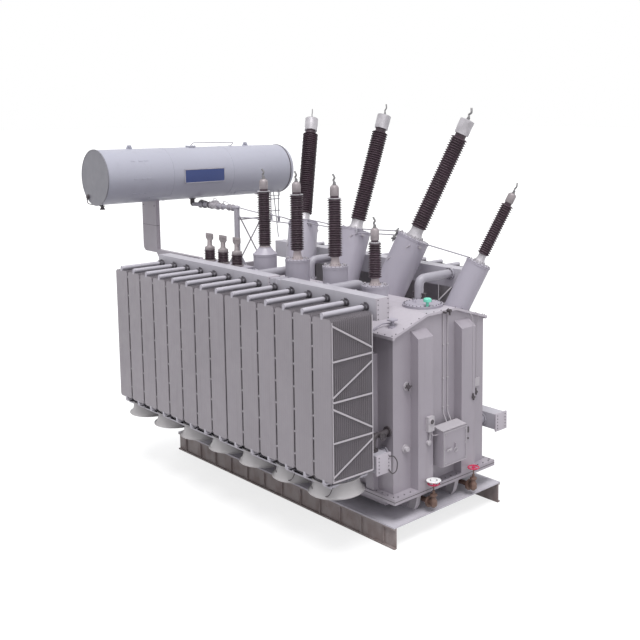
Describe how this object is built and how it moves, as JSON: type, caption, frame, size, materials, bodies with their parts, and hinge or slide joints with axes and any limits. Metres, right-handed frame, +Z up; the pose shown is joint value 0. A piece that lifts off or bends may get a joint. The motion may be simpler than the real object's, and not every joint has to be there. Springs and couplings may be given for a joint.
{
  "type": "power transformer",
  "caption": "Oil-filled power transformer on a skid, with radiator banks, fan cowls, a conservator drum and fanned bushings; handwheels and box door move.",
  "frame": {"origin": "on the ground at the centre of the skid's footprint, under the middle cross-beam", "axes": "+X along the tank to the end with the control box, +Y to the side of the tall high-voltage bushings, +Z up"},
  "size_m": [10.0922, 5.96, 8.5385],
  "materials": {
    "skid_paint": "weathered satin grey paint",
    "tank_paint": "satin grey paint",
    "cover_paint": "satin light grey paint",
    "radiator_paint": "satin grey paint",
    "fan_paint": "satin off-white paint",
    "drum_paint": "glossy light grey paint",
    "porcelain": "dark brown glazed porcelain",
    "valve_brass": "dull brown brass",
    "red_paint": "gloss red paint"
  },
  "bodies": {
    "transformer": {"skid_runner_near": "skid_paint", "skid_runner_far": "skid_paint", "skid_deck": "skid_paint", "tank_cradle": "tank_paint", "tank_shell": "tank_paint", "tank_cover": "cover_paint", "radiators_front_near": "radiator_paint", "radiators_front_far": "radiator_paint", "radiators_rear_near": "radiator_paint", "radiators_rear_far": "radiator_paint", "fans_near": "fan_paint", "fans_far": "fan_paint", "conservator_shell": "drum_paint", "conservator_flat_end": "drum_paint", "conservator_dished_end": "drum_paint", "conservator_support_near": "tank_paint", "conservator_support_far": "tank_paint", "oil_pipe": "cover_paint", "hv_turret_a": "cover_paint", "hv_turret_b": "cover_paint", "hv_turret_c": "cover_paint", "hv_neutral_turret": "cover_paint", "hv_bushing_a": "porcelain", "hv_bushing_b": "porcelain", "hv_bushing_c": "porcelain", "hv_neutral_bushing": "porcelain", "mv_turret_a": "cover_paint", "mv_turret_b": "cover_paint", "mv_turret_c": "cover_paint", "mv_neutral_turret": "cover_paint", "mv_bushing_a": "porcelain", "mv_bushing_b": "porcelain", "mv_bushing_c": "porcelain", "mv_neutral_bushing": "porcelain", "lv_bushing_box": "cover_paint", "lv_bushing_a": "porcelain", "lv_bushing_b": "porcelain", "lv_bushing_c": "porcelain", "control_box": "tank_paint", "drain_valve_near": "valve_brass", "drain_valve_far": "valve_brass"},
    "door": {"control_box_door": "tank_paint"},
    "wheel_near": {"handwheel_near": "red_paint"},
    "wheel_far": {"handwheel_far": "red_paint"}
  },
  "joints": [
    {"name": "door_hinge", "type": "hinge", "parent": "transformer", "child": "door", "pos_m": [3.98, 0.382, 1.695], "axis": [0, 0, 1], "range_deg": [0, 110]},
    {"name": "wheel_near_turn", "type": "hinge", "parent": "transformer", "child": "wheel_near", "pos_m": [3.95, -0.56, 1.06], "axis": [0, 0, 1], "continuous": true},
    {"name": "wheel_far_turn", "type": "hinge", "parent": "transformer", "child": "wheel_far", "pos_m": [3.95, 0.63, 1.06], "axis": [0, 0, 1], "continuous": true}
  ]
}
